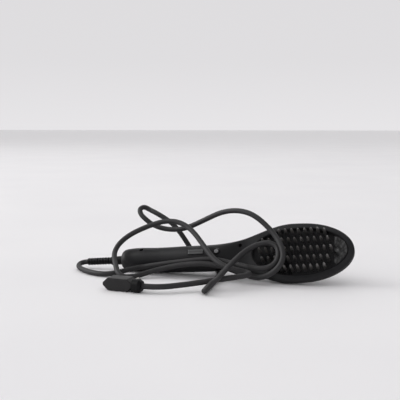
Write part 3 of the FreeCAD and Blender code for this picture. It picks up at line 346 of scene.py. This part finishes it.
def spread(tree, value, low, high, low_in=NOISE_RANGE[0], high_in=NOISE_RANGE[1]):
    """A value between low and high, as the one given goes from low_in to high_in."""
    item = tree.nodes.new("ShaderNodeMapRange")
    for socket, number in zip(item.inputs[1:5], (low_in, high_in, low, high)):
        socket.default_value = number
    tree.links.new(value, item.inputs[0])
    return item.outputs[0]


def mixed(tree, share, first, second):
    """A colour between two others, each a tuple or a socket."""
    item = tree.nodes.new("ShaderNodeMix")
    item.data_type = "RGBA"
    tree.links.new(share, item.inputs[0])
    for socket, colour in ((item.inputs[6], first), (item.inputs[7], second)):
        if isinstance(colour, tuple):
            socket.default_value = (*colour, 1.0)
        else:
            tree.links.new(colour, socket)
    return item.outputs[2]


def finish(name, dark, light, rough, patch, grain, depth, metallic=0.0, coat=0.0, specular=0.5,
           stretch=EVEN):
    """A finish with soft colour patches, uneven roughness and a fine moulded or drawn grain."""
    item, tree, shader = new_material(name)
    patches = noise(tree, patch, PATCH_DETAIL)
    colour = mixed(tree, spread(tree, patches, 0.0, 1.0), dark, light)
    tree.links.new(colour, shader.inputs["Base Color"])
    fine = noise(tree, grain, GRAIN_DETAIL, stretch)
    wear = tree.nodes.new("ShaderNodeMath")
    wear.operation = "MULTIPLY_ADD"
    wear.inputs[1].default_value = GRAIN_SHARE
    tree.links.new(fine, wear.inputs[0])
    tree.links.new(spread(tree, patches, 0.0, 1.0 - GRAIN_SHARE), wear.inputs[2])
    uneven = spread(tree, wear.outputs[0], *rough, *ROUGH_RANGE)
    tree.links.new(uneven, shader.inputs["Roughness"])
    bump = tree.nodes.new("ShaderNodeBump")
    bump.inputs["Strength"].default_value = BUMP_STRENGTH
    bump.inputs["Distance"].default_value = depth
    tree.links.new(fine, bump.inputs["Height"])
    tree.links.new(bump.outputs["Normal"], shader.inputs["Normal"])
    shader.inputs["Metallic"].default_value = metallic
    shader.inputs["Specular IOR Level"].default_value = specular
    shader.inputs["Coat Weight"].default_value = coat
    shader.inputs["Coat Roughness"].default_value = COAT_ROUGHNESS
    return item


def by_place(tree, direction, origin, low, high, low_in, high_in, both_sides=False):
    """A value from low to high by how far along a direction a place lies from the origin."""
    where = tree.nodes.new("ShaderNodeTexCoord")
    along = tree.nodes.new("ShaderNodeVectorMath")
    along.operation = "DOT_PRODUCT"
    along.inputs[1].default_value = direction
    tree.links.new(where.outputs["Object"], along.inputs[0])
    reach = tree.nodes.new("ShaderNodeMath")
    reach.operation = "SUBTRACT"
    reach.inputs[1].default_value = Vector(direction).dot(origin)
    tree.links.new(along.outputs["Value"], reach.inputs[0])
    value = reach.outputs[0]
    if both_sides:
        size = tree.nodes.new("ShaderNodeMath")
        size.operation = "ABSOLUTE"
        tree.links.new(value, size.inputs[0])
        value = size.outputs[0]
    return spread(tree, value, low, high, low_in, high_in)


def recolour(item, share, colour):
    """Lays a second colour over a finish where the share says so."""
    tree = item.node_tree
    socket = tree.nodes["Principled BSDF"].inputs["Base Color"]
    tree.links.new(mixed(tree, share, socket.links[0].from_socket, colour), socket)


finishes = {
    "casing_black": finish(
        "casing_matte", dark=(0.0095, 0.0095, 0.0108), light=(0.0135, 0.0135, 0.0148),
        rough=(0.46, 0.62), patch=0.020, grain=0.0006, depth=0.00004, specular=0.24),
    "gloss_black": finish(
        "plate_gloss", dark=(0.004, 0.004, 0.0045), light=(0.007, 0.007, 0.0075),
        rough=(0.14, 0.26), patch=0.012, grain=0.0120, depth=0.00150),
    "bristle_black": finish(
        "bristle_gloss", dark=(0.018, 0.017, 0.017), light=(0.026, 0.025, 0.0245),
        rough=(0.24, 0.34), patch=0.010, grain=0.0020, depth=0.00001, coat=1.0, specular=0.8),
    "rocker_grey": finish(
        "rocker_satin", dark=(0.016, 0.0165, 0.0175), light=(0.022, 0.0225, 0.024),
        rough=(0.42, 0.56), patch=0.006, grain=0.0005, depth=0.00003),
    "lens_white": finish(
        "lens_milky", dark=(0.150, 0.150, 0.155), light=(0.200, 0.200, 0.205), rough=(0.25, 0.40),
        patch=0.002, grain=0.0004, depth=0.00001),
    "cord_black": finish(
        "cord_rubber", dark=(0.025, 0.0245, 0.0255), light=(0.034, 0.033, 0.0345),
        rough=(0.56, 0.70), patch=0.016, grain=0.0008, depth=0.00004, specular=0.22),
    "plug_black": finish(
        "plug_moulded", dark=(0.0105, 0.0098, 0.0105), light=(0.0145, 0.0135, 0.0145),
        rough=(0.48, 0.62), patch=0.010, grain=0.0006, depth=0.00004, specular=0.3),
    "plain_plastic": finish(
        "inner_plastic", dark=(0.050, 0.050, 0.052), light=(0.070, 0.070, 0.072),
        rough=(0.45, 0.60), patch=0.008, grain=0.0006, depth=0.00003),
    "collar_black": finish(
        "collar_moulded", dark=(0.004, 0.004, 0.0045), light=(0.0075, 0.0075, 0.008),
        rough=(0.42, 0.58), patch=0.006, grain=0.0006, depth=0.00004, specular=0.12),
    "plated_pin": finish(
        "pin_plating", dark=(0.36, 0.35, 0.33), light=(0.46, 0.44, 0.42), rough=(0.24, 0.40),
        patch=0.004, grain=0.0004, depth=0.00001, metallic=1.0),
    "steel": finish(
        "screw_steel", dark=(0.030, 0.030, 0.031), light=(0.060, 0.060, 0.062), rough=(0.30, 0.48),
        patch=0.002, grain=0.0003, depth=0.00002, metallic=1.0),
    "aluminium": finish(
        "heater_aluminium", dark=(0.58, 0.58, 0.60), light=(0.70, 0.70, 0.72), rough=(0.30, 0.48),
        patch=0.006, grain=0.0005, depth=0.00002, metallic=1.0, stretch=(0.1, 1.0, 1.0)),
    "ceramic": finish(
        "heater_ceramic", dark=(0.30, 0.28, 0.25), light=(0.40, 0.38, 0.34), rough=(0.60, 0.80),
        patch=0.004, grain=0.0004, depth=0.00003),
    "mica": finish(
        "shield_mica", dark=(0.46, 0.38, 0.24), light=(0.62, 0.54, 0.38), rough=(0.25, 0.50),
        patch=0.006, grain=0.0008, depth=0.00003),
    "board_green": finish(
        "board_laminate", dark=(0.012, 0.075, 0.030), light=(0.018, 0.105, 0.042),
        rough=(0.30, 0.45), patch=0.005, grain=0.0006, depth=0.00003),
    "switch_black": finish(
        "switch_body", dark=(0.016, 0.016, 0.017), light=(0.026, 0.026, 0.027), rough=(0.40, 0.55),
        patch=0.003, grain=0.0004, depth=0.00003),
    "led_clear": finish(
        "led_body", dark=(0.55, 0.52, 0.40), light=(0.66, 0.63, 0.52), rough=(0.12, 0.25),
        patch=0.001, grain=0.0003, depth=0.00001),
    "brass": finish(
        "contact_brass", dark=(0.62, 0.44, 0.17), light=(0.72, 0.53, 0.24), rough=(0.24, 0.42),
        patch=0.003, grain=0.0004, depth=0.00002, metallic=1.0),
    "lead_brown": finish(
        "lead_brown", dark=(0.115, 0.048, 0.020), light=(0.150, 0.065, 0.028), rough=(0.38, 0.52),
        patch=0.006, grain=0.0006, depth=0.00002),
    "lead_blue": finish(
        "lead_blue", dark=(0.020, 0.075, 0.280), light=(0.030, 0.100, 0.340), rough=(0.38, 0.52),
        patch=0.006, grain=0.0006, depth=0.00002),
    "lead_white": finish(
        "lead_white", dark=(0.62, 0.60, 0.56), light=(0.72, 0.70, 0.66), rough=(0.40, 0.55),
        patch=0.006, grain=0.0006, depth=0.00002),
}

# Every CAD node takes its slot's finish, the plug's grip the blacker one of the collar
for part in frame["record"]["subparts"]:
    skins = nodes[part["node"]].data.materials
    skins.clear()
    skins.append(finishes[part["material_slot"]])
nodes["plug_grip"].data.materials[0] = finishes["collar_black"]
for piece, slot in ((cord, "cord_black"), (bristle_set, "bristle_black"),
                    (ribbed_relief, "collar_black"), (casing_front, "casing_black"),
                    (casing_back, "casing_black")):
    piece.data.materials.append(finishes[slot])

# Colours by place: the parting line, the rocker's finger marks, a painted highlight on the bristle
# tips, black pin sleeves
LINE_COLOUR = (0.002, 0.002, 0.002)
LINE_HALF = 0.00022
LINE_EDGE = (LINE_HALF * 0.5, LINE_HALF * 1.5)
MARK_COLOUR = (0.050, 0.052, 0.054)
MARK_PLACES = (-1.7, 1.7)
MARK_HALF = 0.0005
MARK_EDGE = (MARK_HALF * 0.6, MARK_HALF * 1.4)
# Painted highlight: the bristles are coloured paler towards their tips in place of the gloss that
# lights them; its colour, and the heights above the dish floor where it begins and is full
TIP_HIGHLIGHT_PAINT = (0.105, 0.099, 0.096)
TIP_HIGHLIGHT_PAINT_FROM = 5.0
TIP_HIGHLIGHT_PAINT_FULL = 14.0
SLEEVE_COLOUR = (0.012, 0.012, 0.013)
SLEEVE_END = 0.022
SLEEVE_EDGE = (SLEEVE_END - 0.0001, SLEEVE_END + 0.0001)
PLUG_ORIGIN = Vector((-0.0516, -0.1032, 0.0073))
PIN_DIRECTION = (0.0819, 0.9966, 0.0)

skin = finishes["casing_black"]
line = by_place(skin.node_tree, face_out, BUTT, 1.0, 0.0, *LINE_EDGE, both_sides=True)
recolour(skin, line, LINE_COLOUR)

skin = finishes["rocker_grey"]
for place in MARK_PLACES:
    middle = BUTT + Vector(face_up) * place * MM
    mark = by_place(skin.node_tree, face_up, middle, 1.0, 0.0, *MARK_EDGE, both_sides=True)
    recolour(skin, mark, MARK_COLOUR)

# Painted highlight: a paler colour laid over the upper part of each bristle, standing in for light on
# its tips
skin = finishes["bristle_black"]
floor_of_dish = BUTT + Vector(face_out) * DISH_FLOOR * MM
painted_tip_highlight = by_place(skin.node_tree, face_out, floor_of_dish, 0.0, 1.0, TIP_HIGHLIGHT_PAINT_FROM * MM, TIP_HIGHLIGHT_PAINT_FULL * MM)
recolour(skin, painted_tip_highlight, TIP_HIGHLIGHT_PAINT)

skin = finishes["plated_pin"]
sleeve = by_place(skin.node_tree, PIN_DIRECTION, PLUG_ORIGIN, 1.0, 0.0, *SLEEVE_EDGE)
recolour(skin, sleeve, SLEEVE_COLOUR)
bare = by_place(skin.node_tree, PIN_DIRECTION, PLUG_ORIGIN, 0.0, 1.0, *SLEEVE_EDGE)
skin.node_tree.links.new(bare, skin.node_tree.nodes["Principled BSDF"].inputs["Metallic"])

# Pale floor
FLOOR_SIZE = 60.0
FLOOR_DROP = 0.0002
half = FLOOR_SIZE / 2
floor_corners = [(x, y, -FLOOR_DROP)
                 for x, y in ((-half, -half), (half, -half), (half, half), (-half, half))]
ground = bpy.data.meshes.new("floor")
ground.from_pydata(floor_corners, [], [(0, 1, 2, 3)])
ground.materials.append(finish(
    "floor_pale", dark=(0.77, 0.76, 0.775), light=(0.80, 0.79, 0.80), rough=(0.70, 0.85),
    patch=0.30, grain=0.004, depth=0.00002, specular=0.2))
floor = bpy.data.objects.new("floor", ground)
scene.collection.objects.link(floor)

# Soft studio light: a wide light overhead and far panels, three of which show in gloss alone
SKY_FROM = (-0.20, 0.0, 0.98)
SKY_STRENGTH = 1.95
SKY_SPREAD = math.radians(130.0)
HEAD = Vector((0.15, -0.02, 0.05))
PANEL_DISTANCE = 6.0


def aim(item, towards):
    """Puts a lamp in the scene and turns it to shine from that direction."""
    item.rotation_euler = Vector(towards).to_track_quat("Z", "Y").to_euler()
    scene.collection.objects.link(item)


def panel(name, towards, size, power, only_gloss):
    """A square studio light in that direction from the head; one may show in gloss alone."""
    data = bpy.data.lights.new(name, "AREA")
    data.size = size
    data.energy = power
    item = bpy.data.objects.new(name, data)
    item.location = HEAD + Vector(towards) * PANEL_DISTANCE
    item.visible_diffuse = not only_gloss
    aim(item, towards)


sky = bpy.data.lights.new("soft_top", "SUN")
sky.energy = SKY_STRENGTH
sky.angle = SKY_SPREAD
overhead = bpy.data.objects.new("soft_top", sky)
overhead.visible_glossy = False
aim(overhead, SKY_FROM)
panel("slope_panel", towards=(-0.62, -0.31, 0.72), size=1.6, power=12.0, only_gloss=True)
panel("side_panel", towards=(-0.877, -0.045, 0.478), size=3.6, power=125.0, only_gloss=False)
panel("bristle_panel", towards=(-0.83, -0.13, 0.545), size=2.4, power=320.0, only_gloss=True)
panel("back_panel", towards=(-0.10, 0.72, 0.69), size=4.8, power=130.0, only_gloss=True)

# The room: pale round the horizon, dim overhead, as (height from 0 to 1, level) by direction alone
ROOM = ((0.0, 0.36), (0.5, 0.80), (0.545, 0.745), (0.60, 0.735), (0.70, 0.40), (0.82, 0.16),
        (1.0, 0.12))
ROOM_TINT = (0.995, 0.98, 1.0)
world = bpy.data.worlds.new("studio")
scene.world = world
world.use_nodes = True
tree = world.node_tree
tree.nodes.clear()
where = tree.nodes.new("ShaderNodeTexCoord")
split = tree.nodes.new("ShaderNodeSeparateXYZ")
tree.links.new(where.outputs["Generated"], split.inputs[0])
height = spread(tree, split.outputs["Z"], 0.0, 1.0, -1.0, 1.0)
ramp = tree.nodes.new("ShaderNodeValToRGB")
stops = ramp.color_ramp.elements
while len(stops) < len(ROOM):
    stops.new(0.5)
# All places come before the colours, because a stop that passes another changes its number
for stop, (position, level) in zip(stops, ROOM):
    stop.position = position
for stop, (position, level) in zip(stops, ROOM):
    stop.color = (*(level * tint for tint in ROOM_TINT), 1.0)
tree.links.new(height, ramp.inputs[0])
room = tree.nodes.new("ShaderNodeBackground")
tree.links.new(ramp.outputs[0], room.inputs["Color"])
out = tree.nodes.new("ShaderNodeOutputWorld")
tree.links.new(room.outputs[0], out.inputs["Surface"])
